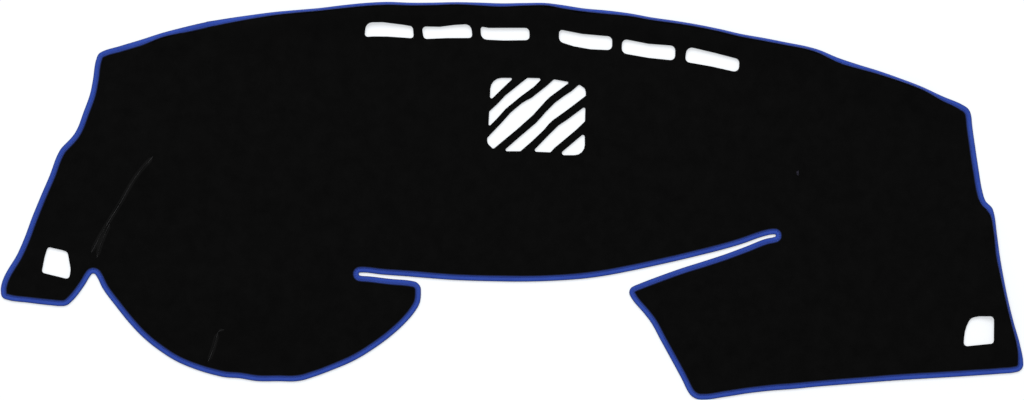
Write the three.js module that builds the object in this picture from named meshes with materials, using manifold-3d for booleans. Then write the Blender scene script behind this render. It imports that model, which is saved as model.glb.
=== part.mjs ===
// Dashboard cover mat: one die-cut sheet of needle felt that lies over a car's dashboard, with a
// folded tape sewn round its whole edge. Millimetres, +Z up. The mat lies with its pile up: +X is
// its right end, +Y the edge that goes against the windscreen, and the origin is on the ground
// under the middle of the mat.

import * as THREE from 'three';
import { mergeVertices } from 'three/addons/utils/BufferGeometryUtils.js';
import Module from 'manifold-3d';

// Overall plan, between the outermost corners before they are rounded. The drawn outline is
// stretched to it.
const matLength = 1433;
const matDepth = 558.5;

// Felt and edge tape, in section
const feltThickness = 3.2;
const pressedFelt = 1.5; // what is left of the felt where the tape grips it
const tapeThickness = 0.7;
const tapeWidth = 7.4; // how far the tape reaches in from the finished edge, on both faces
const tapeFold = 0.9; // rounding of the fold along the finished edge
const seatGap = 0.3; // between the tape and the felt that it is folded over

// Forms that the mat keeps as it lies: lips that turn down to the ground, and darted domes
const lipBend = 5.5; // length of felt that bends over from a lip to its crest
const frontFall = 40; // how far behind the front lip's crest the mat is down on the ground
const endFall = 56; // the same behind the lip at the right end
const lipMargin = 0.6; // how far a lip stays straight past the tape
const dartDomeRadius = 85;
const dartDomeHeight = 8;
const hoodDomeRadius = 108;
const hoodDomeHeight = 9;

// Sewn darts, as shallow grooves in the pile
const dartWidth = 1.6;
const dartDepth = 0.8;

// How finely curves and the draped sheet are divided
const curveStep = 4; // a curve is first followed in steps of this length
const curveDivisions = 60; // for each point of a curve, to measure its length
const maxTurn = THREE.MathUtils.degToRad(7); // most that a curve turns from one point to the next
const maxStep = 28; // longest straight piece of a curve
const arcTurn = THREE.MathUtils.degToRad(23); // turn of one piece of a rounded corner
const arcShare = 0.48; // most of the way to the next point that a rounded corner takes up
const sheetCell = 26; // cell of the draped sheet, away from its lips
const fallShares = [0.18, 0.42, 0.7, 1]; // where the fall behind a lip has its folds
const longestMitre = 2; // most that a sharp inner corner lengthens a section carried round it
const weldGap = 1e-4; // points nearer than this are one
const cutMargin = 6; // how far a cutter reaches past the faces that it cuts
// Upright cutters reach higher than the mat can stand: a lip on end, with a dome on top
const cutReach = tapeWidth + lipMargin + lipBend + hoodDomeHeight + feltThickness + cutMargin;

// The finished edge, anticlockwise, in named stretches. [x, y] is a point that a smooth edge
// passes through, and [x, y, r] is a corner that is rounded to the radius r.
const leftEnd = [
  [-580, 206.5, 12], [-585, 182.5], [-589, 156], [-599, 126.5], [-607.5, 103],
  [-614, 91.5], [-624.5, 80], [-633, 70.5], [-646.5, 37], [-668, -13.5], [-689.5, -69],
  [-702, -91], [-711.5, -107.5], [-715.5, -121], [-715.5, -137.5, 14],
];
const leftFlap = [
  [-696, -140.5], [-654, -146], [-622.5, -148.5, 16], [-607, -130], [-600.5, -121.5],
  [-593.5, -111.5],
];
const notchTip = [[-586, -98, 4.7]];
const hoodLobe = [
  [-572.5, -124], [-551, -152.5], [-523, -185.5], [-493, -210.5], [-465, -227.5], [-430, -240.5],
  [-402, -247.5], [-381, -249], [-355.5, -253], [-325, -253], [-297, -252.5],
  [-267.5, -243], [-221, -224], [-175, -194], [-145, -166.5], [-129.5, -144],
  [-126, -113.5, 13],
];
const hoodSlit = [[-157, -111.5], [-185, -107.5], [-214.5, -104.8, 1.9], [-214.5, -100.8, 1.9]];
const bay = [
  [-185, -103.5], [-143, -106.5], [-87, -111], [-31, -113], [25, -113.5], [81, -111],
  [116, -107.5], [151, -101.5], [221.5, -86.5], [277.5, -73], [312, -64], [340.5, -54],
  [358.5, -48.5],
];
const flapSlit = [
  [369, -47.4, 1.3], [369, -50.4, 1.3], [358.5, -52.5], [333.5, -62], [291.5, -77.5], [235, -95.5],
  [185.5, -113.5], [158.5, -124.5, 9.5],
];
const rightFlap = [
  [174, -145.5], [190, -164.5], [196, -173.5], [206.5, -193], [237.5, -250], [252.5, -280.5, 22],
  [284, -277], [333, -269.5], [352, -267], [382, -265], [417, -261.5], [459, -258],
  [543, -251.5], [627, -246.5], [690, -242], [717.5, -239, 11.5],
];
const rightEnd = [
  [712, -206.5], [697.5, -153.5], [686, -97.5], [679.5, -55.5], [676, -26], [672, -10.5],
  [663, -1], [658.5, 12], [651, 56.5], [644, 105.5], [641.5, 129.5, 18],
];
const frontEdge = [
  [612.5, 141], [585, 154.5], [543, 171], [501, 185.5], [466, 196], [438, 207.5], [420, 214],
  [403, 217], [372, 224], [347, 228.5], [319, 233.5], [291, 240], [242, 249.5], [200, 255.5],
  [158, 263], [123, 267], [95, 269.5], [74, 273], [53, 276], [25, 276.5], [-17, 276],
  [-61.5, 277.5], [-94, 277.5], [-129, 276.5], [-157, 277.5], [-183.5, 278], [-227, 274.5],
  [-283, 268], [-318, 265.5], [-374, 258.5], [-430, 249.5], [-479, 237.5], [-500.5, 231.5],
  [-535, 220], [-559, 213.5],
];

// How steeply the edge is turned down to the ground: [place along the edge, degrees]
const frontBends = [
  [-535, 0], [-486, 42], [-437, 0], [-402, 30], [-367, 45], [-318, 57], [-283, 60], [-227, 56],
  [-129, 59], [-80, 65], [-17, 52], [43, 65], [81, 49], [102, 56], [126, 50], [179, 61],
  [263, 63], [375, 57], [403, 62], [431, 56], [462, 34], [494, 48], [543, 59], [578, 60],
  [610, 40], [630, 0],
];
const endBends = [
  [-232, 0], [-220, 36], [-202, 50], [-174, 57], [-139, 58], [-104, 54], [-76, 45], [-48, 52],
  [-24, 50], [-6, 0],
];

// Openings through the mat, each anticlockwise or clockwise, written as the finished edge is
const ventSlots = [
  [
    [-204.5, 249, 10], [-183.5, 249.5], [-159.5, 247], [-139, 243.5, 5], [-137.5, 227, 4],
    [-159.5, 228.5], [-185, 230], [-206.5, 229, 4],
  ],
  [
    [-126.5, 243.5, 5], [-101, 243], [-81.5, 245.5], [-57.5, 247, 9], [-55.5, 227.5, 4.5],
    [-87, 227.5], [-123.5, 226, 5],
  ],
  [
    [-44, 243.5, 3], [-33.5, 241.5], [-3, 241.5], [24, 241.5, 6], [24.5, 224.5, 5.5], [-10, 224],
    [-43.5, 225.5, 9],
  ],
  [
    [66, 239.5, 4], [88, 234.5], [112, 231.5], [140, 229.5, 6.5], [140, 210.5, 6.5], [112, 211.5],
    [88, 215.5], [65.5, 222.5, 8],
  ],
  [
    [154.5, 226.5, 6], [179, 221], [201.5, 218], [228.5, 216.5, 7], [228, 196, 6.5], [200, 198.5],
    [176.5, 202], [153, 206.5, 8],
  ],
  [
    [244.5, 215.5, 8], [263, 211.5], [285.5, 206], [318, 197.5, 6.5], [317.5, 179, 7],
    [288.5, 185.5], [266, 190.5], [242, 194, 6.5],
  ],
];
const cornerHoles = [
  [
    [-650, -65, 4], [-633, -68.5], [-622, -72, 6], [-618, -97.5], [-620, -110.5, 5],
    [-641.5, -104.5], [-658.5, -101, 4], [-655.5, -83.5],
  ],
  [
    [631.5, -204.5, 5], [674, -200, 4.5], [674, -162, 5], [651, -162.5], [641.5, -166],
    [634, -182.5],
  ],
];
// The speaker grille: six slanting openings, which leave five wavy bars standing between them
const grilleOpenings = [
  [
    [-30, 171.5, 18], [2, 171.5, 1.5], [-6, 164.5], [-12, 158.5], [-17, 154], [-22.5, 148.5],
    [-31, 139.5, 2.5],
  ],
  [
    [21.5, 171.5, 2.5], [42, 171, 2], [33.5, 162], [22.5, 153], [11, 145], [-0.5, 136],
    [-11, 126.5], [-22.5, 113.5], [-33, 103, 1.5], [-32, 124.5, 2], [-22.5, 133], [-11.5, 145],
    [0, 155], [11, 163.5],
  ],
  [
    [58.5, 169.5, 3], [74, 167], [80.5, 165.5, 2.5], [67.5, 156], [50.5, 143], [39, 130],
    [28, 118.5], [16.5, 108], [6, 99], [-6, 89.5], [-17, 80], [-26.5, 72, 2.5], [-34, 80],
    [-35, 87.5, 3.5], [-25.5, 96.5], [-17, 106], [-5.5, 119.5], [5.5, 129.5], [16.5, 138],
    [28, 144], [39, 152.5], [51, 162.5],
  ],
  [
    [94, 162.5, 3], [102, 156], [103.5, 147, 3.5], [95, 140.5], [72.5, 123.5], [61.5, 116],
    [53, 109], [45, 99.5], [33.5, 89], [22.5, 78], [11.5, 69, 1.5], [-12, 69, 2], [0, 80.5],
    [11, 89.5], [22.5, 98.5], [38.5, 113.5], [44.5, 121], [51, 127.5], [61.5, 138], [72.5, 146],
    [84, 153.5],
  ],
  [
    [102.5, 132, 2], [102, 111, 2], [92.5, 101.5], [81, 92.5], [70, 82.5], [58.5, 73],
    [53.5, 67.5, 2], [28.5, 68.5, 2.5], [37, 76.5], [47.5, 87], [58.5, 99], [67, 106.5],
    [78.5, 114], [89.5, 122],
  ],
  [[101.5, 94.5, 2.5], [102, 63.5, 14.5], [64.5, 63.5, 3], [78.5, 75], [89.5, 84.5]],
];
const darts = [
  [[-502, 61.5], [-526.5, 33], [-549.5, -5.5], [-561.5, -24.5], [-574, -45.5], [-589, -73]],
  [[-563, -32], [-575, -59], [-581, -80]],
  [[-411.5, -184], [-418.5, -208], [-425.5, -226]],
];

// Domes that the darts give the mat
const domes = [
  { middle: [-507, 50], radius: dartDomeRadius, height: dartDomeHeight }, // at the long dart
  { middle: [-360, -140], radius: hoodDomeRadius, height: hoodDomeHeight }, // instrument hood
];

const feltColour = 0x0d0d0d;
const feltRoughness = 0.95;
const tapeColour = 0x2b45a4;
const tapeRoughness = 0.7;

const wasm = await Module();
wasm.setup();

// Booleans: a three.js geometry becomes a solid, and a solid becomes a geometry again
function solidOf(geometry) {
  const bare = geometry.clone();
  bare.deleteAttribute('normal');
  bare.deleteAttribute('uv');
  const merged = mergeVertices(bare, weldGap);
  return new wasm.Manifold(new wasm.Mesh({
    numProp: 3,
    vertProperties: new Float32Array(merged.attributes.position.array),
    triVerts: new Uint32Array(merged.index.array),
  }));
}

function geometryOf(solid) {
  const mesh = solid.getMesh();
  const geometry = new THREE.BufferGeometry();
  geometry.setAttribute('position', new THREE.BufferAttribute(mesh.vertProperties, mesh.numProp));
  geometry.setIndex(new THREE.BufferAttribute(mesh.triVerts, 1));
  geometry.computeVertexNormals();
  return geometry;
}

// The drawn plan, stretched to the size that is wanted
const drawnEdge = [
  ...leftEnd, ...leftFlap, ...notchTip, ...hoodLobe, ...hoodSlit, ...bay, ...flapSlit,
  ...rightFlap, ...rightEnd, ...frontEdge,
];

function stretchAlong(axis, wanted) {
  const places = drawnEdge.map((entry) => entry[axis]);
  return wanted / (Math.max(...places) - Math.min(...places));
}

const stretch = { x: stretchAlong(0, matLength), y: stretchAlong(1, matDepth) };

function inPlan([x, y]) {
  return new THREE.Vector2(x * stretch.x, y * stretch.y);
}

// Curves in plan
function smoothCurve(points) {
  const curve = new THREE.CatmullRomCurve3(
    points.map((p) => new THREE.Vector3(p.x, p.y, 0)), false, 'centripetal',
  );
  curve.arcLengthDivisions = curveDivisions * points.length;
  const pieces = Math.max(2, Math.ceil(curve.getLength() / curveStep));
  return thinned(curve.getSpacedPoints(pieces).map((p) => new THREE.Vector2(p.x, p.y)));
}

// Keeps as many points of a curve as its bends and the longest straight piece need
function thinned(points) {
  const kept = [points[0]];
  let turned = 0;
  for (let i = 1; i < points.length - 1; i += 1) {
    const before = points[i].clone().sub(points[i - 1]);
    const after = points[i + 1].clone().sub(points[i]);
    turned += Math.abs(Math.atan2(before.cross(after), before.dot(after)));
    const step = points[i].distanceTo(kept[kept.length - 1]);
    if (turned >= maxTurn || step >= maxStep) {
      kept.push(points[i]);
      turned = 0;
    }
  }
  kept.push(points[points.length - 1]);
  return kept;
}

// The rounding of one corner: its points from the edge that comes in to the edge that goes out
function roundedCorner(before, corner, after, radius) {
  const back = before.clone().sub(corner);
  const on = after.clone().sub(corner);
  const room = arcShare * Math.min(back.length(), on.length());
  back.normalize();
  on.normalize();
  const half = Math.acos(THREE.MathUtils.clamp(back.dot(on), -1, 1)) / 2;
  const reach = Math.min(radius / Math.tan(half), room);
  const r = reach * Math.tan(half);
  const middle = back.clone().add(on).setLength(r / Math.sin(half)).add(corner);
  const start = corner.clone().addScaledVector(back, reach);
  const end = corner.clone().addScaledVector(on, reach);
  const first = start.clone().sub(middle);
  const sweep = Math.atan2(first.cross(end.clone().sub(middle)), first.dot(end.clone().sub(middle)));
  const pieces = Math.max(2, Math.ceil(Math.abs(sweep) / arcTurn));
  const points = [];
  for (let i = 0; i <= pieces; i += 1) {
    points.push(first.clone().rotateAround(new THREE.Vector2(), (sweep * i) / pieces).add(middle));
  }
  return points;
}

// A closed outline, starting at its first corner
function closedOutline(entries) {
  const isCorner = (entry) => entry.length === 3;
  const start = entries.findIndex(isCorner);
  const around = [...entries.slice(start), ...entries.slice(0, start)];
  const place = around.map(inPlan);
  const at = (i) => place[(i + place.length) % place.length];
  const outline = [];
  let stretch = [];
  for (let i = 0; i <= around.length; i += 1) {
    const entry = around[i % around.length];
    if (isCorner(entry)) {
      const arc = roundedCorner(at(i - 1), at(i), at(i + 1), entry[2]);
      if (stretch.length > 0) {
        const curve = smoothCurve([...stretch, arc[0]]);
        outline.push(...curve.slice(1, -1));
      }
      if (i < around.length) outline.push(...arc);
      stretch = [arc[arc.length - 1]];
    } else {
      stretch.push(at(i));
    }
  }
  return outline;
}

function prism(outline) {
  const geometry = new THREE.ExtrudeGeometry(new THREE.Shape(outline), {
    depth: 2 * cutReach,
    bevelEnabled: false,
  });
  geometry.translate(0, 0, -cutReach);
  return solidOf(geometry);
}

// An edge that is turned down to the ground, so that the mat rises behind it. The edge is a graph:
// its place across (y at the front, x at the right end) is a function of the place along it.
class Lip {
  constructor(edge, across, along, bends, fall) {
    this.across = across;
    this.along = along;
    this.bends = bends.map(([place, degrees]) => [place * stretch[along], degrees]);
    this.fall = fall;
    this.edge = [...edge].sort((a, b) => a[along] - b[along]);
  }

  edgeAt(place) {
    const { edge, along, across } = this;
    const next = edge.findIndex((p) => p[along] > place);
    if (next === 0) return edge[0][across];
    if (next < 0) return edge[edge.length - 1][across];
    const [a, b] = [edge[next - 1], edge[next]];
    return a[across] + ((b[across] - a[across]) * (place - a[along])) / (b[along] - a[along]);
  }

  // Length along the ground for each millimetre of the edge's own direction
  slant(place) {
    const run = maxStep;
    return Math.cos(Math.atan((this.edgeAt(place + run) - this.edgeAt(place - run)) / (2 * run)));
  }

  steepness(place) {
    const { bends } = this;
    const next = bends.findIndex(([where]) => where > place);
    if (next <= 0) return 0;
    const [[fromPlace, from], [toPlace, to]] = [bends[next - 1], bends[next]];
    const degrees = THREE.MathUtils.lerp(
      from, to, THREE.MathUtils.smoothstep(place, fromPlace, toPlace),
    );
    return Math.tan(THREE.MathUtils.degToRad(degrees));
  }

  // The lip's section at a place: its slope, and where its straight part and its bend end
  section(place) {
    const steep = this.steepness(place);
    const shortened = 1 / Math.hypot(1, steep);
    const straight = (tapeWidth + seatGap + lipMargin) * shortened;
    const crest = straight + lipBend * shortened;
    const drop = steep * shortened * tapeFold; // sets the rounded fold of the tape on the ground
    return { steep, straight, crest, drop, height: (steep * (straight + crest)) / 2 - drop };
  }

  // How high the lip lifts the mat at a point, and how steep the mat is there
  rise(point) {
    const place = point[this.along];
    const inward = (this.edgeAt(place) - point[this.across]) * this.slant(place);
    const { steep, straight, crest, drop, height } = this.section(place);
    if (inward <= straight) return { lift: steep * inward - drop, steep };
    if (inward <= crest) {
      const left = (crest - inward) / (crest - straight);
      return { lift: height - (steep * left * (crest - inward)) / 2, steep: steep * left };
    }
    const down = Math.min((inward - crest) / this.fall, 1);
    return { lift: (height * (1 + Math.cos(Math.PI * down))) / 2, steep: 0 };
  }

  // Places across, from outside the edge to the foot of the fall, where the sheet needs a fold
  folds(place) {
    const { straight, crest } = this.section(place);
    const behind = fallShares.map((share) => crest + share * this.fall);
    const inward = [-lipBend, 0, straight, (straight + crest) / 2, crest, ...behind];
    return inward.map((d) => this.edgeAt(place) - d / this.slant(place));
  }
}

const finishedEdge = closedOutline(drawnEdge);

// The part of the finished edge from one drawn corner to another, going anticlockwise
function partOfEdge(fromCorner, toCorner) {
  const nearest = (corner) => {
    const far = finishedEdge.map((p) => p.distanceTo(inPlan(corner)));
    return far.indexOf(Math.min(...far));
  };
  const from = nearest(fromCorner);
  const to = nearest(toCorner);
  const turned = [...finishedEdge.slice(from), ...finishedEdge.slice(0, from)];
  return turned.slice(0, ((to - from + finishedEdge.length) % finishedEdge.length) + 1);
}

const frontLip = new Lip(
  partOfEdge(rightEnd[rightEnd.length - 1], leftEnd[0]), 'y', 'x', frontBends, frontFall,
);
const endLip = new Lip(
  partOfEdge(rightFlap[rightFlap.length - 1], rightEnd[rightEnd.length - 1]),
  'x', 'y', endBends, endFall,
);

// How the mat lies: how high its underside is at a point, and how much steeper than flat it is,
// which is how much taller its thickness stands there
function drape(point) {
  const front = frontLip.rise(point);
  const end = endLip.rise(point);
  const lip = front.steep > 0 || (end.steep === 0 && front.lift > end.lift) ? front : end;
  let lift = lip.lift;
  for (const dome of domes) {
    const middle = inPlan(dome.middle);
    const out = Math.hypot(point.x - middle.x, point.y - middle.y) / dome.radius;
    if (out < 1) lift += (dome.height * (1 + Math.cos(Math.PI * out))) / 2;
  }
  return { lift, taller: Math.hypot(1, lip.steep) };
}

// Stations round the finished edge: where it is, the way in from it, and how much a length across
// the tape is shortened in plan where the lip stands steep
function stationsOf(edge) {
  return edge.map((point, i) => {
    const before = edge[(i + edge.length - 1) % edge.length];
    const after = edge[(i + 1) % edge.length];
    const came = point.clone().sub(before).normalize();
    const goes = after.clone().sub(point).normalize();
    const inward = new THREE.Vector2(-came.y - goes.y, came.x + goes.x).normalize();
    const mitre = 1 / Math.max(inward.dot(new THREE.Vector2(-came.y, came.x)), 1 / longestMitre);
    return { point, inward, mitre, shortened: 1 / drape(point).taller };
  });
}

function stationPoint(station, inward) {
  const reach = inward * station.shortened * station.mitre;
  return station.point.clone().addScaledVector(station.inward, reach);
}

// A section carried along stations and laid on the draped mat. The section is anticlockwise, as
// [inward, up] pairs. Each cell is split from its outer corner to its inner one further on, so that
// faces of two lofts that lie on each other have the same folds.
function loft(stations, section, closed) {
  const vertices = [];
  const faces = [];
  for (const station of stations) {
    for (const [inward, up] of section) {
      const at = stationPoint(station, inward);
      const { lift, taller } = drape(at);
      vertices.push(at.x, at.y, lift + up * taller);
    }
  }
  const count = section.length;
  const cells = closed ? stations.length : stations.length - 1;
  for (let i = 0; i < cells; i += 1) {
    const here = i * count;
    const there = ((i + 1) % stations.length) * count;
    for (let k = 0; k < count; k += 1) {
      const next = (k + 1) % count;
      const [a, b, c, d] = [here + k, here + next, there + next, there + k];
      if (section[k][0] <= section[next][0]) faces.push(a, b, c, a, c, d);
      else faces.push(a, b, d, b, c, d);
    }
  }
  if (!closed) {
    const last = (stations.length - 1) * count;
    for (let k = 1; k < count - 1; k += 1) {
      faces.push(0, k + 1, k);
      faces.push(last, last + k, last + k + 1);
    }
  }
  const geometry = new THREE.BufferGeometry();
  geometry.setAttribute('position', new THREE.Float32BufferAttribute(vertices, 3));
  geometry.setIndex(faces);
  return geometry;
}

const edgeStations = stationsOf(finishedEdge);

// Felt: a draped sheet, trimmed to the edge inside the tape's fold
function drapedSheet() {
  const left = Math.min(...finishedEdge.map((p) => p.x)) - cutMargin;
  const low = Math.min(...finishedEdge.map((p) => p.y)) - cutMargin;
  const frontFolds = frontLip.folds(0).length;
  const endFolds = endLip.folds(0).length;
  const columns = Math.ceil((endLip.folds(0)[endFolds - 1] - left) / sheetCell);
  const rows = Math.ceil((frontLip.folds(0)[frontFolds - 1] - low) / sheetCell);

  // Columns count from the left, rows from the front
  const columnAt = (column, y) => {
    const folds = endLip.folds(y);
    if (column >= columns) return folds[columns + endFolds - 1 - column];
    return THREE.MathUtils.lerp(left, folds[endFolds - 1], column / columns);
  };
  const rowAt = (row, x) => {
    const folds = frontLip.folds(x);
    if (row < frontFolds) return folds[row];
    return THREE.MathUtils.lerp(folds[frontFolds - 1], low, (row - frontFolds + 1) / rows);
  };
  const across = columns + endFolds - 1;
  const down = frontFolds - 1 + rows;
  const geometry = new THREE.BoxGeometry(across, down, 1, across, down, 1);
  const { position } = geometry.attributes;
  for (let i = 0; i < position.count; i += 1) {
    const column = Math.round(position.getX(i) + across / 2);
    const row = Math.round(down / 2 - position.getY(i));
    const roughX = columnAt(column, 0);
    const x = columnAt(column, rowAt(row, roughX));
    const y = rowAt(row, x);
    const { lift, taller } = drape({ x, y });
    const thickness = position.getZ(i) > 0 ? feltThickness * taller : 0;
    position.setXYZ(i, x, y, lift + thickness);
  }
  return solidOf(geometry);
}

// Thickness lost to the tape on the top and the underside, out from inside the tape's fold
const feltEdge = tapeThickness + seatGap;
const coreLow = tapeThickness + seatGap;
const coreHigh = coreLow + pressedFelt;
const rebateOut = feltEdge / 2;
const rebateIn = tapeWidth + seatGap;

function tapeRebates() {
  const above = feltThickness + cutMargin;
  const top = loft(edgeStations, [
    [rebateOut, coreHigh], [rebateIn, coreHigh], [rebateIn, above], [rebateOut, above],
  ], true);
  const under = loft(edgeStations, [
    [rebateOut, -cutMargin], [rebateIn, -cutMargin], [rebateIn, coreLow], [rebateOut, coreLow],
  ], true);
  return [solidOf(top), solidOf(under)];
}

function dartGroove(line) {
  const middle = smoothCurve(line.map(inPlan));
  const stations = middle.map((point, i) => {
    const along = middle[Math.min(i + 1, middle.length - 1)].clone().sub(middle[Math.max(i - 1, 0)]);
    return {
      point,
      inward: new THREE.Vector2(-along.y, along.x).normalize(),
      mitre: 1,
      shortened: 1,
    };
  });
  const half = dartWidth / 2;
  const floor = feltThickness - dartDepth;
  const above = feltThickness + cutMargin;
  return solidOf(loft(stations, [[-half, floor], [half, floor], [half, above], [-half, above]], false));
}

function feltPanel() {
  let felt = drapedSheet().intersect(prism(edgeStations.map((s) => stationPoint(s, feltEdge))));
  for (const rebate of tapeRebates()) felt = felt.subtract(rebate);
  for (const opening of [...ventSlots, ...cornerHoles, ...grilleOpenings]) {
    felt = felt.subtract(prism(closedOutline(opening)));
  }
  for (const line of darts) felt = felt.subtract(dartGroove(line));
  return geometryOf(felt.trimByPlane([0, 0, 1], 0)); // nothing sinks into the ground
}

// Edge tape: one length of woven tape folded over the felt, its two legs sewn through
function edgeTape() {
  const high = coreHigh + seatGap + tapeThickness;
  const geometry = loft(edgeStations, [
    [tapeWidth, 0], [tapeWidth, tapeThickness], [tapeThickness, tapeThickness],
    [tapeThickness, high - tapeThickness], [tapeWidth, high - tapeThickness], [tapeWidth, high],
    [tapeFold, high], [0, high - tapeFold], [0, tapeFold], [tapeFold, 0],
  ], true);
  const { position } = geometry.attributes;
  for (let i = 0; i < position.count; i += 1) position.setZ(i, Math.max(position.getZ(i), 0));
  geometry.computeVertexNormals();
  return geometry;
}

function named(name, geometry, colour, roughness) {
  const material = new THREE.MeshStandardMaterial({ color: colour, roughness, metalness: 0 });
  const mesh = new THREE.Mesh(geometry, material);
  mesh.name = name;
  return mesh;
}

const group = new THREE.Group();
group.add(named('felt_panel', feltPanel(), feltColour, feltRoughness));
group.add(named('edge_binding', edgeTape(), tapeColour, tapeRoughness));
export default group;
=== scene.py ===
import bisect
import functools
import math

import bmesh
import bpy
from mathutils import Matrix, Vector, noise
from mathutils.bvhtree import BVHTree


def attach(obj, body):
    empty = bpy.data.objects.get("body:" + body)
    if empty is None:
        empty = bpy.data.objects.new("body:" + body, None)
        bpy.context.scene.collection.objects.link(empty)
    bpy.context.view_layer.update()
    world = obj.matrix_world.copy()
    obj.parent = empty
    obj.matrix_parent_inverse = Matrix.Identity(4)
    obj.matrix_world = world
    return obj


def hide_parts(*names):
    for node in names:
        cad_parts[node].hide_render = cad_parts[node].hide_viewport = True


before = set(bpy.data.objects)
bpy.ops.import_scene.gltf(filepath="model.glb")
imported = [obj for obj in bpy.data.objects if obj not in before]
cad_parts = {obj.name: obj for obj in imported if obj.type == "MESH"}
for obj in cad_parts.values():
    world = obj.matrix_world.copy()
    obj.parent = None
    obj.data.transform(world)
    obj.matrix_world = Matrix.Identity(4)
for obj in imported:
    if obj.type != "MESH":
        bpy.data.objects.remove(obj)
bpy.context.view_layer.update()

# Felt panel: one sheet of needle-punched polyester felt, 3.2 mm thick, with its pile raised to a
# velour above and a dotted non-slip backing below. It is cut by a hot blade, which leaves the
# openings with raw, slightly fused walls.
PILE_CELL = 0.007  # grid of the pile side, so that it falls in smooth folds
PILE_SMOOTHINGS = 6
SHARP_ANGLE = math.radians(50)
VELOUR, CUT_EDGE, BACKING = range(3)  # places of the three materials on the panel
WALL_LEAN = 0.2  # most that a wall's normal points up or down; past it a face is pile or backing
LEVEL = 0.9  # least that a level face's normal points up


def linear(hex_colour):
    """An sRGB colour such as #0c0c0c as the linear colour that a shader takes."""
    shares = [int(hex_colour[i : i + 2], 16) / 255 for i in (1, 3, 5)]
    return [c / 12.92 if c <= 0.04045 else ((c + 0.055) / 1.055) ** 2.4 for c in shares] + [1.0]


def new_material(name):
    """A material with no nodes yet."""
    material = bpy.data.materials.new(name)
    material.use_nodes = True
    material.node_tree.nodes.clear()
    return material


def add_node(material, kind, inputs=(), **settings):
    """Adds a node to a material. inputs gives its sockets a value or the socket that feeds them."""
    made = material.node_tree.nodes.new(kind)
    for setting, value in settings.items():
        setattr(made, setting, value)
    for socket, value in dict(inputs).items():
        if isinstance(value, bpy.types.NodeSocket):
            material.node_tree.links.new(value, made.inputs[socket])
        else:
            made.inputs[socket].default_value = value
    return made


def velour_material(name, dark, light):
    """Raised polyester pile: very dark and matt, with a faint sheen when seen along the cloth."""
    velour = new_material(name)
    place = add_node(velour, "ShaderNodeTexCoord").outputs["Object"]
    nap_patch = 0.022  # where the pile was stroked one way or the other
    fibre = 0.0009  # drawn about four times as coarse as real fibres, so that it shows
    nap = add_node(velour, "ShaderNodeTexNoise", {
        "Vector": place, "Scale": 1 / nap_patch, "Detail": 5.0, "Roughness": 0.65,
    }).outputs["Fac"]
    fibres = add_node(velour, "ShaderNodeTexNoise", {
        "Vector": place, "Scale": 1 / fibre, "Detail": 3.0, "Roughness": 0.7,
    }).outputs["Fac"]
    shade = add_node(velour, "ShaderNodeMix", {"Factor": 0.4, "A": nap, "B": fibres}).outputs["Result"]
    colour = add_node(velour, "ShaderNodeValToRGB", {"Fac": shade})
    colour.color_ramp.elements[0].position = 0.35
    colour.color_ramp.elements[0].color = linear(dark)
    colour.color_ramp.elements[1].position = 0.65
    colour.color_ramp.elements[1].color = linear(light)
    bump = add_node(velour, "ShaderNodeBump", {
        "Height": fibres, "Strength": 0.6, "Distance": fibre,
    }).outputs["Normal"]
    shader = add_node(velour, "ShaderNodeBsdfPrincipled", {
        "Base Color": colour.outputs["Color"], "Roughness": 0.92, "Normal": bump,
        "Specular IOR Level": 0.02, "Sheen Weight": 0.015, "Sheen Roughness": 0.4,
    })
    add_node(velour, "ShaderNodeOutputMaterial", {"Surface": shader.outputs["BSDF"]})
    return velour


def cut_edge_material():
    """The felt's wall where the hot blade fused it: black, denser and a little glossier."""
    cut = new_material("fused_felt_edge")
    place = add_node(cut, "ShaderNodeTexCoord").outputs["Object"]
    bead = 0.0006  # drops that the melted fibres drew together into
    beads = add_node(cut, "ShaderNodeTexNoise", {
        "Vector": place, "Scale": 1 / bead, "Detail": 2.0,
    }).outputs["Fac"]
    bump = add_node(cut, "ShaderNodeBump", {
        "Height": beads, "Strength": 0.5, "Distance": 0.0003,
    }).outputs["Normal"]
    shader = add_node(cut, "ShaderNodeBsdfPrincipled", {
        "Base Color": linear("#0d0d0e"), "Roughness": 0.7, "Normal": bump,
        "Specular IOR Level": 0.15,
    })
    add_node(cut, "ShaderNodeOutputMaterial", {"Surface": shader.outputs["BSDF"]})
    return cut


def backing_material():
    """Spun-bonded backing with rubbery dots that grip the dashboard: dots shine, cloth doesn't."""
    backing = new_material("dotted_non_slip_backing")
    place = add_node(backing, "ShaderNodeTexCoord").outputs["Object"]
    dot_pitch = 0.0045
    fibre = 0.0008
    off_dot = add_node(backing, "ShaderNodeTexVoronoi", {
        "Vector": place, "Scale": 1 / dot_pitch, "Randomness": 0.0,
    }, voronoi_dimensions="2D").outputs["Distance"]
    dot = add_node(backing, "ShaderNodeMapRange", {
        "Value": off_dot, "From Min": 0.2, "From Max": 0.27, "To Min": 1.0, "To Max": 0.0,
    }).outputs["Result"]
    fibres = add_node(backing, "ShaderNodeTexNoise", {
        "Vector": place, "Scale": 1 / fibre, "Detail": 3.0,
    }).outputs["Fac"]
    colour = add_node(backing, "ShaderNodeMix", {
        "Factor": dot, "A": linear("#1d1d1f"), "B": linear("#121213"),
    }, data_type="RGBA")
    roughness = add_node(backing, "ShaderNodeMapRange", {
        "Value": dot, "To Min": 0.95, "To Max": 0.45,
    }).outputs["Result"]
    weave = add_node(backing, "ShaderNodeBump", {
        "Height": fibres, "Strength": 0.4, "Distance": 0.0003,
    }).outputs["Normal"]
    bump = add_node(backing, "ShaderNodeBump", {
        "Height": dot, "Strength": 0.8, "Distance": 0.0004, "Normal": weave,
    }).outputs["Normal"]
    shader = add_node(backing, "ShaderNodeBsdfPrincipled", {
        "Base Color": colour.outputs[2], "Roughness": roughness, "Normal": bump,
        "Specular IOR Level": 0.3,
    })
    add_node(backing, "ShaderNodeOutputMaterial", {"Surface": shader.outputs["BSDF"]})
    return backing


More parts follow.
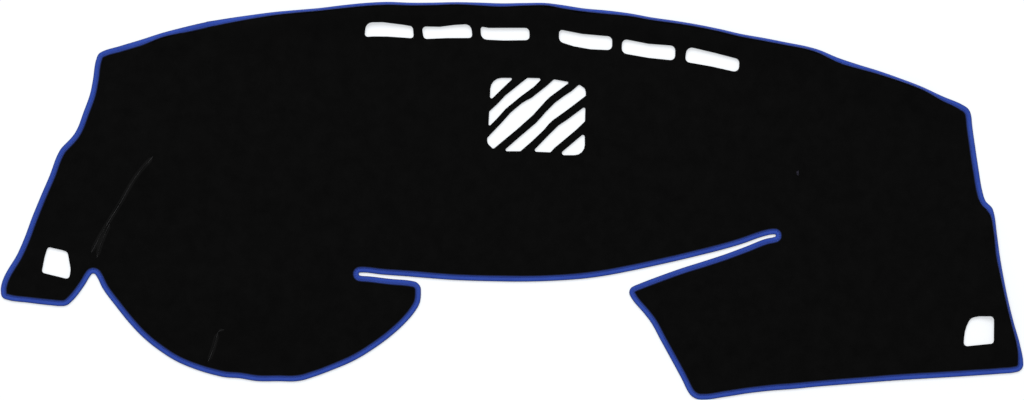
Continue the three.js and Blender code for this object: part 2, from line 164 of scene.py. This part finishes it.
def node_skin(name):
    """A CAD node's mesh as one joined skin, to work on."""
    skin = bmesh.new()
    skin.from_mesh(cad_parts[name].data)
    bmesh.ops.remove_doubles(skin, verts=skin.verts, dist=1e-6)
    skin.normal_update()
    return skin


def faces_reached(start, wanted):
    """All the wanted faces that a walk over shared edges reaches from one face."""
    found = {start}
    waiting = [start]
    while waiting:
        face = waiting.pop()
        near = [f for e in face.edges for f in e.link_faces if f not in found and wanted(f)]
        found.update(near)
        waiting.extend(near)
    return list(found)


def cut_into_strips(skin, faces, axis, width):
    """Cuts faces by upright planes, evenly spaced along one axis."""
    normal = Vector((axis == 0, axis == 1, 0))
    plane = width * math.ceil(min(v.co[axis] for f in faces for v in f.verts) / width)
    ahead = faces
    while ahead:
        crossed, beyond = [], []
        for face in ahead:
            places = [v.co[axis] for v in face.verts]
            if min(places) >= plane:
                beyond.append(face)
            elif max(places) > plane:
                crossed.append(face)
        edges = {e for f in crossed for e in f.edges}
        verts = {v for f in crossed for v in f.verts}
        cut = bmesh.ops.bisect_plane(
            skin, geom=[*crossed, *edges, *verts], dist=1e-6, plane_co=normal * plane, plane_no=normal
        )
        pieces = [g for g in cut["geom"] if isinstance(g, bmesh.types.BMFace)]
        ahead = beyond + [f for f in pieces if f.calc_center_median()[axis] > plane]
        plane += width


def finished_piece(name, skin, materials):
    """Makes a piece of a skin. It rides on the mat's one body."""
    for edge in skin.edges:
        edge.smooth = not edge.is_manifold or edge.calc_face_angle() < SHARP_ANGLE
    for face in skin.faces:
        face.smooth = True
    mesh = bpy.data.meshes.new(name)
    skin.to_mesh(mesh)
    skin.free()
    for material in materials:
        mesh.materials.append(material)
    piece = bpy.data.objects.new(name, mesh)
    bpy.context.scene.collection.objects.link(piece)
    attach(piece, "root")
    return piece


felt_skin = node_skin("felt_panel")
for face in felt_skin.faces:
    face.material_index = BACKING if face.normal.z < -WALL_LEAN else CUT_EDGE
middle = min(
    (f for f in felt_skin.faces if f.normal.z > LEVEL),
    key=lambda f: f.calc_center_median().xy.length,
)
pile = faces_reached(middle, lambda f: f.normal.z > WALL_LEAN)
for face in pile:
    face.material_index = VELOUR
for edge in felt_skin.edges:
    edge.seam = all(f.material_index == VELOUR for f in edge.link_faces)
for axis in (0, 1):
    pile = [f for f in felt_skin.faces if f.material_index == VELOUR]
    cut_into_strips(felt_skin, pile, axis, PILE_CELL)
old_edges = [e for e in felt_skin.edges if e.seam]
bmesh.ops.dissolve_edges(felt_skin, edges=old_edges, use_verts=True, use_face_split=False)
for edge in felt_skin.edges:
    edge.seam = False
inside = [v for v in felt_skin.verts if all(f.material_index == VELOUR for f in v.link_faces)]
for _ in range(PILE_SMOOTHINGS):  # each one starts a cell further in, so that the rim stays put
    near_rim = set(felt_skin.verts) - set(inside)
    inside = [v for v in inside if not any(e.other_vert(v) in near_rim for e in v.link_edges)]
    bmesh.ops.smooth_vert(
        felt_skin, verts=inside, factor=0.5, use_axis_x=False, use_axis_y=False, use_axis_z=True
    )
velour = velour_material("black_velour_pile", "#070707", "#0b0b0b")
felt = finished_piece(
    "felt_mat", felt_skin, [velour, cut_edge_material(), backing_material()]
)
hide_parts("felt_panel")

# Edge tape: one length of woven polyester tape, folded over the felt's outer edge all the way
# round, into the notch and both slits. Its two legs grip the felt and are sewn through. It is laid
# along the outer wall of the CAD tape, at the height of that tape's underside.
FOLD_WALL = (0.0009, 0.0026)  # where the CAD tape's outer wall starts and ends above its underside
TAPE_STEP = 0.004  # most that one piece of the tape is long
TAPE_TURN = math.radians(6)  # most that it turns
HEIGHT_PROBES = (0.0015, 0.004, 0.0065)  # how far in from the edge the CAD tape's height is read
UNDER_GROUND = -0.01  # where the look upward for that height starts


def finished_edge():
    """The CAD tape's outer wall, anticlockwise: a list of (x, y, wall's foot, wall's head)."""
    skin = node_skin("edge_binding")
    wall_edge = {}
    for edge in skin.edges:
        low, high = sorted(edge.verts, key=lambda v: v.co.z)
        if (low.co - high.co).xy.length < 1e-6:
            wall_edge[low] = wall_edge[high] = (low, high)
    left = set(wall_edge.values())
    loops = []
    while left:
        loop = [min(left, key=lambda pair: pair[0].co.x)]
        left.remove(loop[0])
        while True:
            near = {
                wall_edge[v]
                for f in loop[-1][0].link_faces
                if loop[-1][1] in f.verts
                for v in f.verts
            }
            onward = sorted(near & left, key=lambda pair: pair[0].index)
            if not onward:
                break
            loop.append(onward[0])
            left.remove(onward[0])
        loops.append([(*low.co, high.co.z) for low, high in loop])
    skin.free()

    def area(loop):
        return sum(a[0] * b[1] - b[0] * a[1] for a, b in zip(loop, loop[1:] + loop[:1])) / 2

    outer = max(loops, key=lambda loop: abs(area(loop)))
    return outer if area(outer) > 0 else outer[::-1]


class EdgePath:
    """The finished edge as a smooth closed path, with places given by arc length along it."""

    def __init__(self, stations, cad_tape):
        self.cad_tape = cad_tape
        self.stations = [Vector(s) for s in stations]
        count = len(stations)
        self.steps = [
            (self.stations[(i + 1) % count] - self.stations[i]).xy.length for i in range(count)
        ]
        self.starts = [sum(self.steps[:i]) for i in range(count)]
        self.length = sum(self.steps)
        self.slopes = [self.slope(i) for i in range(count)]

    def slope(self, i):
        """Change of a station's place and wall for a metre along the edge."""
        count = len(self.stations)
        before = (self.stations[i] - self.stations[i - 1]) / self.steps[i - 1]
        after = (self.stations[(i + 1) % count] - self.stations[i]) / self.steps[i]
        near, far = self.steps[i - 1], self.steps[i]
        return (before * far + after * near) / (near + far)

    def places(self, longest, most_turn):
        """Arc lengths all round, close enough for a longest step and a most turn between two."""
        found = []
        for i, step in enumerate(self.steps):
            turn = self.slopes[i].xy.angle(self.slopes[(i + 1) % len(self.steps)].xy, 0)
            pieces = max(1, math.ceil(step / longest), math.ceil(turn / most_turn))
            found += [self.starts[i] + step * k / pieces for k in range(pieces)]
        return found

    @functools.lru_cache(maxsize=8)
    def frame_at(self, arc):
        """Place, way inward in plan, the mat's stretch upward, and its underside's heights."""
        arc %= self.length
        i = bisect.bisect_right(self.starts, arc) - 1
        j = (i + 1) % len(self.stations)
        step = self.steps[i]
        t = (arc - self.starts[i]) / step
        place = (
            self.stations[i] * (2 * t**3 - 3 * t**2 + 1)
            + self.slopes[i] * step * (t**3 - 2 * t**2 + t)
            + self.stations[j] * (3 * t**2 - 2 * t**3)
            + self.slopes[j] * step * (t**3 - t**2)
        )
        along = self.slopes[i].lerp(self.slopes[j], t)
        inward = Vector((-along[1], along[0])).normalized()
        taller = max((place[3] - place[2]) / (FOLD_WALL[1] - FOLD_WALL[0]), 1.0)
        steep = math.sqrt(taller**2 - 1)
        spot = Vector((place[0], place[1]))
        heights = []
        for probe in HEIGHT_PROBES:
            below = Vector((*(spot + inward * probe), UNDER_GROUND))
            hit = self.cad_tape.ray_cast(below, Vector((0, 0, 1)))[0]
            heights.append(hit.z if hit else place[2] - FOLD_WALL[0] * taller + steep * probe)
        return spot, inward, taller, heights

    def point(self, arc, inward, up):
        """A point of the folded edge: so far along it, in from it, and above its underside."""
        spot, way_in, taller, heights = self.frame_at(arc)
        across = inward / taller
        part = 0 if across < HEIGHT_PROBES[1] else 1
        share = (across - HEIGHT_PROBES[part]) / (HEIGHT_PROBES[part + 1] - HEIGHT_PROBES[part])
        under = heights[part] + share * (heights[part + 1] - heights[part])
        return Vector((*(spot + way_in * across), max(under, 0) + up * taller))


def lofted(shares, section_count, place_of, closed):
    """A grid bent round into a tube. place_of takes a step along it and a step round it, and
    shares has each step's place along it, from 0 to 1, for the UV map."""
    tube = bmesh.new()
    uv_map = tube.loops.layers.uv.new("UVMap")
    along_count = len(shares) - 1
    bmesh.ops.create_grid(
        tube, x_segments=along_count, y_segments=section_count, size=0.5, calc_uvs=True
    )
    for face in tube.faces:
        for corner in face.loops:
            corner[uv_map].uv.x = shares[round(corner[uv_map].uv.x * along_count)]
    for vert in tube.verts:
        along = round((vert.co.x + 0.5) * along_count)
        around = round((vert.co.y + 0.5) * section_count)
        vert.co = place_of(along % along_count if closed else along, around % section_count)
    bmesh.ops.remove_doubles(tube, verts=tube.verts, dist=1e-7)
    bmesh.ops.holes_fill(tube, edges=tube.edges, sides=section_count + 1)
    bmesh.ops.recalc_face_normals(tube, faces=tube.faces)
    return tube


# Painted shade on the tape: how much of its colour shows, by the share of its section, from its inner
# edge below to the one above, and on round the fold. It is painted darker at the selvedges, where the
# pile shades them, in the stitch groove and on the fold.
TAPE_PAINTED_SHADE = [
    (0.0, 0.5), (0.387, 0.3), (0.419, 0.05), (0.452, 0.06), (0.484, 0.24), (0.516, 0.88),
    (0.548, 0.66), (0.581, 0.95), (0.613, 1.0), (0.645, 0.9), (0.677, 0.42), (0.71, 0.35),
    (0.742, 0.38), (0.806, 0.6), (0.871, 1.0), (0.903, 1.0), (0.935, 0.6), (0.968, 0.9), (1.0, 0.5),
]


def tape_material(name, edge_length, girth, stops):
    """Ribbed polyester tape: its ribs catch the light, so the blue is lively but not glossy. stops has
    pairs of a share of the section and how much of the colour shows there, which paints shade on it."""
    tape = new_material(name)
    strip = add_node(tape, "ShaderNodeTexCoord").outputs["UV"]
    metres = add_node(tape, "ShaderNodeMapping", {
        "Vector": strip, "Scale": (edge_length, girth, 1),
    }).outputs["Vector"]
    rib_pitch = 0.0009
    warp_pitch = 0.0006
    worn_patch = 0.03
    turns = 2 * math.pi / 20  # a band texture turns 20 times its scale in a unit
    ribs = add_node(tape, "ShaderNodeTexWave", {
        "Vector": metres, "Scale": turns / rib_pitch, "Distortion": 0.4, "Detail": 1.0,
    }, bands_direction="X").outputs["Fac"]
    warp = add_node(tape, "ShaderNodeTexWave", {
        "Vector": metres, "Scale": turns / warp_pitch, "Distortion": 0.3, "Detail": 1.0,
    }, bands_direction="Y").outputs["Fac"]
    weave = add_node(tape, "ShaderNodeMath", {0: ribs, 1: warp}, operation="MULTIPLY").outputs[0]
    wear = add_node(tape, "ShaderNodeTexNoise", {
        "Vector": metres, "Scale": 1 / worn_patch, "Detail": 3.0,
    }).outputs["Fac"]
    shade = add_node(tape, "ShaderNodeMix", {"Factor": 0.35, "A": weave, "B": wear}).outputs["Result"]
    colour = add_node(tape, "ShaderNodeValToRGB", {"Fac": shade})
    colour.color_ramp.elements[0].position = 0.1
    colour.color_ramp.elements[0].color = linear("#1b3287")
    colour.color_ramp.elements[1].position = 0.6
    colour.color_ramp.elements[1].color = linear("#3252b0")
    around = add_node(tape, "ShaderNodeSeparateXYZ", {"Vector": strip}).outputs["Y"]
    # Painted shade round the section: darker where the pile shades the selvedges, in the groove and on
    # the fold.
    painted_shade_ramp = add_node(tape, "ShaderNodeValToRGB", {"Fac": around})
    painted_shade_ramp.color_ramp.elements.remove(painted_shade_ramp.color_ramp.elements[1])
    painted_shade_ramp.color_ramp.elements[0].position = 0.0
    for share, depth in stops:
        stop = painted_shade_ramp.color_ramp.elements.new(share)
        stop.color = (depth, depth, depth, 1)
    painted_shade_ramp.color_ramp.elements[0].color = (*[stops[0][1]] * 3, 1)
    painted_shade_colour = add_node(tape, "ShaderNodeMix", {
        "Factor": 1.0, 6: colour.outputs["Color"], 7: painted_shade_ramp.outputs["Color"],
    }, data_type="RGBA", blend_type="MULTIPLY").outputs[2]
    bump = add_node(tape, "ShaderNodeBump", {
        "Height": weave, "Strength": 0.5, "Distance": 0.0002,
    }).outputs["Normal"]
    shader = add_node(tape, "ShaderNodeBsdfPrincipled", {
        "Base Color": painted_shade_colour, "Roughness": 0.7, "Normal": bump,
        "Specular IOR Level": 0.15, "Sheen Weight": 0.03, "Sheen Roughness": 0.4,
    })
    add_node(tape, "ShaderNodeOutputMaterial", {"Surface": shader.outputs["BSDF"]})
    return tape


cad_tape = BVHTree.FromBMesh(node_skin("edge_binding"))
edge_path = EdgePath(finished_edge(), cad_tape)

# The folded tape in section, anticlockwise, as millimetres inward and up. Its upper selvedge lies
# on the pile, and the sewing presses a groove into both legs.
TAPE_SECTION = [
    (7.4, 0.0), (7.45, 0.4), (7.2, 0.7), (5.6, 0.85), (2.0, 0.75), (1.0, 0.9), (0.75, 1.4),
    (0.75, 2.1), (1.0, 2.6), (2.0, 2.75), (5.6, 2.6), (7.2, 2.8), (7.6, 3.2), (8.6, 3.2),
    (8.6, 3.7), (7.5, 3.85), (6.6, 3.75), (5.7, 3.22), (4.8, 3.6), (2.0, 3.65), (1.0, 3.45),
    (0.4, 3.0), (0.08, 2.4), (0.0, 1.75), (0.08, 1.1), (0.4, 0.5), (1.0, 0.08), (2.0, 0.0),
    (4.7, 0.0), (5.6, 0.15), (6.5, 0.0),
]
TAPE_LEG = 7.4  # millimetres inward to the lower selvedge
TAPE_SLACK = 0.25  # millimetres that the selvedges wander in and out
SLACK_LENGTH = 0.035  # length of such a wave
edge_places = edge_path.places(TAPE_STEP, TAPE_TURN)
edge_shares = [arc / edge_path.length for arc in edge_places] + [1.0]


def tape_point(along, around):
    arc = edge_places[along]
    inward, up = TAPE_SECTION[around]
    wander = TAPE_SLACK * noise.noise(Vector((arc / SLACK_LENGTH, 0.5, 0))) * inward / TAPE_LEG
    return edge_path.point(arc, (inward + wander) / 1000, up / 1000)


tape_girth = sum(
    math.dist(a, b) for a, b in zip(TAPE_SECTION, TAPE_SECTION[1:] + TAPE_SECTION[:1])
) / 1000
woven_tape = tape_material("blue_woven_tape", edge_path.length, tape_girth, TAPE_PAINTED_SHADE)
tape = finished_piece(
    "edge_tape", lofted(edge_shares, len(TAPE_SECTION), tape_point, closed=True), [woven_tape],
)
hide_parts("edge_binding")

# Lap: where the tape's two ends meet, the last 15 mm of it go over the first and are sewn down
# with it. The cut end shows as a small step across the tape, and the other way the lap thins out
# into the tape that it belongs to.
LAP_AT = Vector((-0.428, 0.2485))
LAP_LENGTH = 0.015
LAP_SECTION = [
    (7.5, 3.6), (7.6, 3.75), (7.0, 3.95), (6.6, 3.95), (5.7, 3.55), (4.8, 3.93), (2.0, 3.97),
    (0.8, 3.8), (0.1, 3.3), (-0.35, 2.5), (-0.42, 1.75), (-0.35, 1.0), (0.1, 0.35), (0.4, 0.45),
    (0.1, 1.1), (0.0, 1.75), (0.1, 2.4), (0.4, 3.0), (1.0, 3.4), (2.0, 3.6), (4.8, 3.55),
    (5.7, 3.18), (6.6, 3.55),
]
lap_end = min(edge_places, key=lambda arc: (edge_path.frame_at(arc)[0] - LAP_AT).length)
# Painted shade on the lap, as on the tape: darker at its selvedge, in the groove and on the fold.
LAP_PAINTED_SHADE = [  # as TAPE_PAINTED_SHADE, from the upper selvedge round the fold
    (0.0, 0.24), (0.087, 0.6), (0.13, 0.88), (0.174, 0.66), (0.217, 0.95), (0.26, 1.0),
    (0.304, 0.9), (0.348, 0.42), (0.42, 0.38), (1.0, 0.5),
]
LAP_SHARES = [0.0, 0.03, 0.25, 0.5, 0.75, 0.97, 1.0]
CUT_END_PRESSED = 0.2  # millimetres that the sewing presses the cut end down
LAP_SUNK = 0.5  # millimetres that the other end lies inside the tape
LAP_LOWEST = 0.1  # millimetres above the underside


def lap_point(along, around):
    inward, up = LAP_SECTION[around]
    at_cut = along == len(LAP_SHARES) - 1
    pressed = CUT_END_PRESSED if at_cut else LAP_SUNK * (1 - LAP_SHARES[along])
    arc = lap_end - (1 - LAP_SHARES[along]) * LAP_LENGTH
    return edge_path.point(arc, (inward + pressed) / 1000, max(up - pressed, LAP_LOWEST) / 1000)


lap_girth = sum(math.dist(a, b) for a, b in zip(LAP_SECTION, LAP_SECTION[1:])) / 1000
lap_tape = tape_material("blue_woven_tape_end", LAP_LENGTH, lap_girth, LAP_PAINTED_SHADE)
lap = finished_piece(
    "edge_tape_lap", lofted(LAP_SHARES, len(LAP_SECTION), lap_point, closed=False), [lap_tape],
)

# Sewing of the tape: a lockstitch of blue polyester thread, 3.5 mm long, near the tape's inner
# edge. One thread lies on the top and one on the underside, and they lock inside the felt.
STITCH = 0.0035
STITCH_INWARD = 0.0056
THREAD_RADIUS = 0.00022
TOP_THREAD_UP = 0.00335  # above the tape's underside, in the groove of its upper leg
UNDER_THREAD_UP = 0.00045  # the same for its lower leg
STITCH_FORM = [(0.0, -0.5), (0.18, 0.6), (0.5, 0.9), (0.82, 0.6)]  # share of a stitch, radii up
THREAD_SIDES = 5


def thread_material(name, dark, light, thread_length):
    """Filament thread of two strands twisted together, whose turns catch the light."""
    thread = new_material(name)
    twist = 0.0009  # one turn of the strands
    strip = add_node(thread, "ShaderNodeTexCoord").outputs["UV"]
    turned = add_node(thread, "ShaderNodeMapping", {
        "Vector": strip, "Scale": (2 * thread_length / twist, 2, 0),
    }).outputs["Vector"]
    turns = 2 * math.pi / 10  # a diagonal band texture turns 10 times its scale in a unit
    strands = add_node(thread, "ShaderNodeTexWave", {
        "Vector": turned, "Scale": turns,
    }, bands_direction="DIAGONAL").outputs["Fac"]
    colour = add_node(thread, "ShaderNodeMix", {
        "Factor": strands, "A": linear(dark), "B": linear(light),
    }, data_type="RGBA").outputs[2]
    bump = add_node(thread, "ShaderNodeBump", {
        "Height": strands, "Strength": 0.6, "Distance": 0.0001,
    }).outputs["Normal"]
    shader = add_node(thread, "ShaderNodeBsdfPrincipled", {
        "Base Color": colour, "Roughness": 0.5, "Normal": bump, "Specular IOR Level": 0.35,
    })
    add_node(thread, "ShaderNodeOutputMaterial", {"Surface": shader.outputs["BSDF"]})
    return thread


def evenly_spaced(places, spots, count):
    """Places at even distances along a line whose places and spots in space are given."""
    reached = [0.0]
    for a, b in zip(spots, spots[1:]):
        reached.append(reached[-1] + (b - a).length)
    found = []
    for k in range(count + 1):
        aim = reached[-1] * k / count
        i = min(bisect.bisect_right(reached, aim), len(reached) - 1)
        share = (aim - reached[i - 1]) / (reached[i] - reached[i - 1])
        found.append(places[i - 1] + (places[i] - places[i - 1]) * share)
    return found


def sewn_thread(name, surface, side):
    """One thread of the lockstitch, at a height above the underside. side is 1 on top, else -1."""
    places = [*edge_places, edge_path.length]
    seam = [edge_path.point(arc, STITCH_INWARD, surface) for arc in places]
    seam_length = sum((b - a).length for a, b in zip(seam, seam[1:]))
    stitches = round(seam_length / STITCH)
    holes = evenly_spaced(places, seam, stitches)
    steps = stitches * len(STITCH_FORM)

    def place_of(along, around):
        stitch, part = divmod(along, len(STITCH_FORM))
        share, lift = STITCH_FORM[part]
        arc = holes[stitch] + share * (holes[stitch + 1] - holes[stitch])
        angle = 2 * math.pi * around / THREAD_SIDES
        inward = STITCH_INWARD + THREAD_RADIUS * math.cos(angle)
        up = surface + side * THREAD_RADIUS * (lift + math.sin(angle))
        return edge_path.point(arc, inward, up)

    shares = [step / steps for step in range(steps + 1)]
    blue = thread_material(name, "#16297a", "#2f4aa8", seam_length)
    return finished_piece(name, lofted(shares, THREAD_SIDES, place_of, closed=True), [blue])


top_thread = sewn_thread("tape_thread_top", TOP_THREAD_UP, 1)
under_thread = sewn_thread("tape_thread_under", UNDER_THREAD_UP, -1)

# Darts: narrow wedges of the felt are taken out and the cut is sewn shut with dark grey thread,
# which gives the flat sheet its domes. The pile stands a little higher and greyer along each seam.
DARTS = {
    "long_dart": [
        (-502, 61.5), (-526.5, 33), (-549.5, -5.5), (-561.5, -24.5), (-574, -45.5), (-589, -73),
    ],
    "long_dart_branch": [(-563, -32), (-575, -59), (-581, -80)],
    "hood_dart": [(-411.5, -184), (-418.5, -208), (-425.5, -226)],
    "hood_dart_end": [(-411.5, -184), (-407.5, -181.5), (-403, -181)],
}
DART_STITCH = 0.003
DART_THREAD_RADIUS = 0.0003
THREAD_UP = 0.0005  # above the felt, on the raised pile
SEAM_SECTION = [  # the raised pile, as millimetres aside and up
    (-3.2, 0.0), (-2.0, 0.3), (-0.7, 0.5), (0.7, 0.5), (2.0, 0.3), (3.2, 0.0), (0, -0.6),
]
SEAM_TAPER = 0.008  # over which it dies away at a dart's ends
SEAM_LEAST = 0.15  # share of its size that is left at the very end
LINE_PIECES = 12  # pieces between two of a line's points
HIGH_ABOVE = 0.05  # where the look down for the felt's height starts
felt_surface = BVHTree.FromPolygons(
    [v.co for v in felt.data.vertices], [p.vertices for p in felt.data.polygons]
)
raised_velour = velour_material("raised_velour_pile", "#0e0e0e", "#151515")


def top_of_felt(x, y):
    return felt_surface.ray_cast(Vector((x, y, HIGH_ABOVE)), Vector((0, 0, -1)))[0].z


def smooth_line(points):
    """A smooth line in plan through points that are given in millimetres."""
    knots = [Vector(p) / 1000 for p in points]
    knots = [2 * knots[0] - knots[1], *knots, 2 * knots[-1] - knots[-2]]
    line = []
    for a, b, c, d in zip(knots, knots[1:], knots[2:], knots[3:]):
        for k in range(LINE_PIECES):
            t = k / LINE_PIECES
            line.append(
                b + (c - a) * t / 2 + (2 * a - 5 * b + 4 * c - d) * t**2 / 2
                + (3 * b - a - 3 * c + d) * t**3 / 2
            )
    return [*line, knots[-2]]


def dart_pieces(name, points):
    """The pile raised along one dart's seam, and the thread on it."""
    line = smooth_line(points)
    length = sum((b - a).length for a, b in zip(line, line[1:]))
    stitches = round(length / DART_STITCH)
    steps = stitches * len(STITCH_FORM)
    shares = [step / steps for step in range(steps + 1)]
    spots = evenly_spaced(line, line, steps)

    def place_of(along, aside, up):
        way = spots[min(along + 1, steps)] - spots[max(along - 1, 0)]
        flat = spots[along] + Vector((-way.y, way.x)).normalized() * aside
        return Vector((*flat, top_of_felt(*flat) + up))

    def pile_at(along, around):
        aside, up = SEAM_SECTION[around]
        end = min(along, steps - along) * length / steps
        low = min(1.0, SEAM_LEAST + end / SEAM_TAPER)
        return place_of(along, aside * low / 1000, up * low / 1000)

    def thread_at(along, around):
        lift = STITCH_FORM[along % len(STITCH_FORM)][1]
        angle = 2 * math.pi * around / THREAD_SIDES
        up = THREAD_UP + DART_THREAD_RADIUS * (lift + math.sin(angle))
        return place_of(along, DART_THREAD_RADIUS * math.cos(angle), up)

    pile = lofted(shares, len(SEAM_SECTION), pile_at, closed=False)
    thread = lofted(shares, THREAD_SIDES, thread_at, closed=False)
    grey = thread_material(name + "_thread", "#161618", "#28282a", length)
    return [
        finished_piece(name + "_seam", pile, [raised_velour]),
        finished_piece(name + "_thread", thread, [grey]),
    ]


darts = [piece for name, points in DARTS.items() for piece in dart_pieces(name, points)]

# Lint: a tangle of one violet-grey fibre that clings to the pile, as it does to any black velour.
LINT_AT = (0.400, 0.038)
LINT_SPREAD = Vector((0.0026, 0.0072, 0.0006))
LINT_LENGTH = 0.03
LINT_LENGTH_STEPS = 180
LINT_CURL = 9.0  # how often the fibre turns back
LINT_RADIUS = 0.0001
LINT_SIDES = 4


def lint_spot(step):
    t = LINT_CURL * step / LINT_LENGTH_STEPS
    wander = Vector([noise.noise(Vector((t, 10.0 * axis, 0.3))) for axis in range(3)])
    middle = Vector((*LINT_AT, top_of_felt(*LINT_AT) + LINT_SPREAD.z))
    return middle + wander * LINT_SPREAD


def lint_point(along, around):
    way = (lint_spot(along + 1) - lint_spot(along - 1)).normalized()
    aside = way.cross(Vector((0, 0, 1))).normalized()
    angle = 2 * math.pi * around / LINT_SIDES
    return lint_spot(along) + LINT_RADIUS * (aside * math.cos(angle) + aside.cross(way) * math.sin(angle))


lint_shares = [step / LINT_LENGTH_STEPS for step in range(LINT_LENGTH_STEPS + 1)]
fibre = thread_material("pale_lint_fibre", "#2e2c3a", "#4c4a5e", LINT_LENGTH)
lint = finished_piece(
    "lint_tuft", lofted(lint_shares, LINT_SIDES, lint_point, closed=False), [fibre]
)

# Studio: the mat lies on a white table under a large soft lamp that stands past its windscreen
# edge, and a white room gives the rest of the light. None of it is part of the object.
MM_PER_PIXEL = 1.4
PICTURE_WIDTH_PIXELS = 1024
CAMERA_HEIGHT = 8.0
PICTURE_MIDDLE = (-0.1, 0.5)  # the picture's middle from the mat's, in pixels
TABLE_HALF = 15  # half of the table's side
TABLE_GAP = 0.0002  # between the table and the mat, so that the two faces don't fight

room = bpy.data.worlds.new("white_room")
bpy.context.scene.world = room
room.use_nodes = True
room.node_tree.nodes.clear()
seen = add_node(room, "ShaderNodeLightPath").outputs["Is Camera Ray"]
strength = add_node(room, "ShaderNodeMapRange", {"Value": seen, "To Min": 0.5, "To Max": 1.0})
light = add_node(room, "ShaderNodeBackground", {
    "Color": linear("#ffffff"), "Strength": strength.outputs["Result"],
})
add_node(room, "ShaderNodeOutputWorld", {"Surface": light.outputs["Background"]})

table = new_material("white_table")
plain = add_node(table, "ShaderNodeBsdfDiffuse", {"Color": linear("#f5f5f5")})
glow = add_node(table, "ShaderNodeEmission", {"Color": linear("#f7fbff"), "Strength": 0.56})
half = add_node(table, "ShaderNodeBsdfDiffuse", {"Color": linear("#b2b3b5")})
bright = add_node(table, "ShaderNodeAddShader", {
    0: glow.outputs["Emission"], 1: half.outputs["BSDF"],
})
looked_at = add_node(table, "ShaderNodeLightPath").outputs["Is Camera Ray"]
look = add_node(table, "ShaderNodeMixShader", {
    0: looked_at, 1: plain.outputs["BSDF"], 2: bright.outputs["Shader"],
})
add_node(table, "ShaderNodeOutputMaterial", {"Surface": look.outputs["Shader"]})

table_top = bmesh.new()
bmesh.ops.create_grid(table_top, x_segments=1, y_segments=1, size=TABLE_HALF)
bmesh.ops.translate(table_top, verts=table_top.verts, vec=(0, 0, -TABLE_GAP))
table_mesh = bpy.data.meshes.new("table_top")
table_top.to_mesh(table_mesh)
table_top.free()
table_mesh.materials.append(table)
floor = bpy.data.objects.new("table_top", table_mesh)
bpy.context.scene.collection.objects.link(floor)

lamp_light = bpy.data.lights.new("softbox", "AREA")
lamp_light.shape = "RECTANGLE"
lamp_light.size = 7.0
lamp_light.size_y = 4.5
lamp_light.energy = 500
lamp = bpy.data.objects.new("softbox", lamp_light)
lamp.location = (-0.6, 4.2, 6.0)
lamp.rotation_euler = (-lamp.location).to_track_quat("-Z", "Y").to_euler()
bpy.context.scene.collection.objects.link(lamp)

camera_data = bpy.data.cameras.new("camera")
camera_data.sensor_width = 36
camera_data.lens = 36 * CAMERA_HEIGHT / (PICTURE_WIDTH_PIXELS * MM_PER_PIXEL / 1000)
camera_data.clip_end = 100
camera = bpy.data.objects.new("camera", camera_data)
camera.location = (
    PICTURE_MIDDLE[0] * MM_PER_PIXEL / 1000, PICTURE_MIDDLE[1] * MM_PER_PIXEL / 1000, CAMERA_HEIGHT,
)
bpy.context.scene.collection.objects.link(camera)
bpy.context.scene.camera = camera
bpy.context.scene.view_settings.view_transform = "Standard"
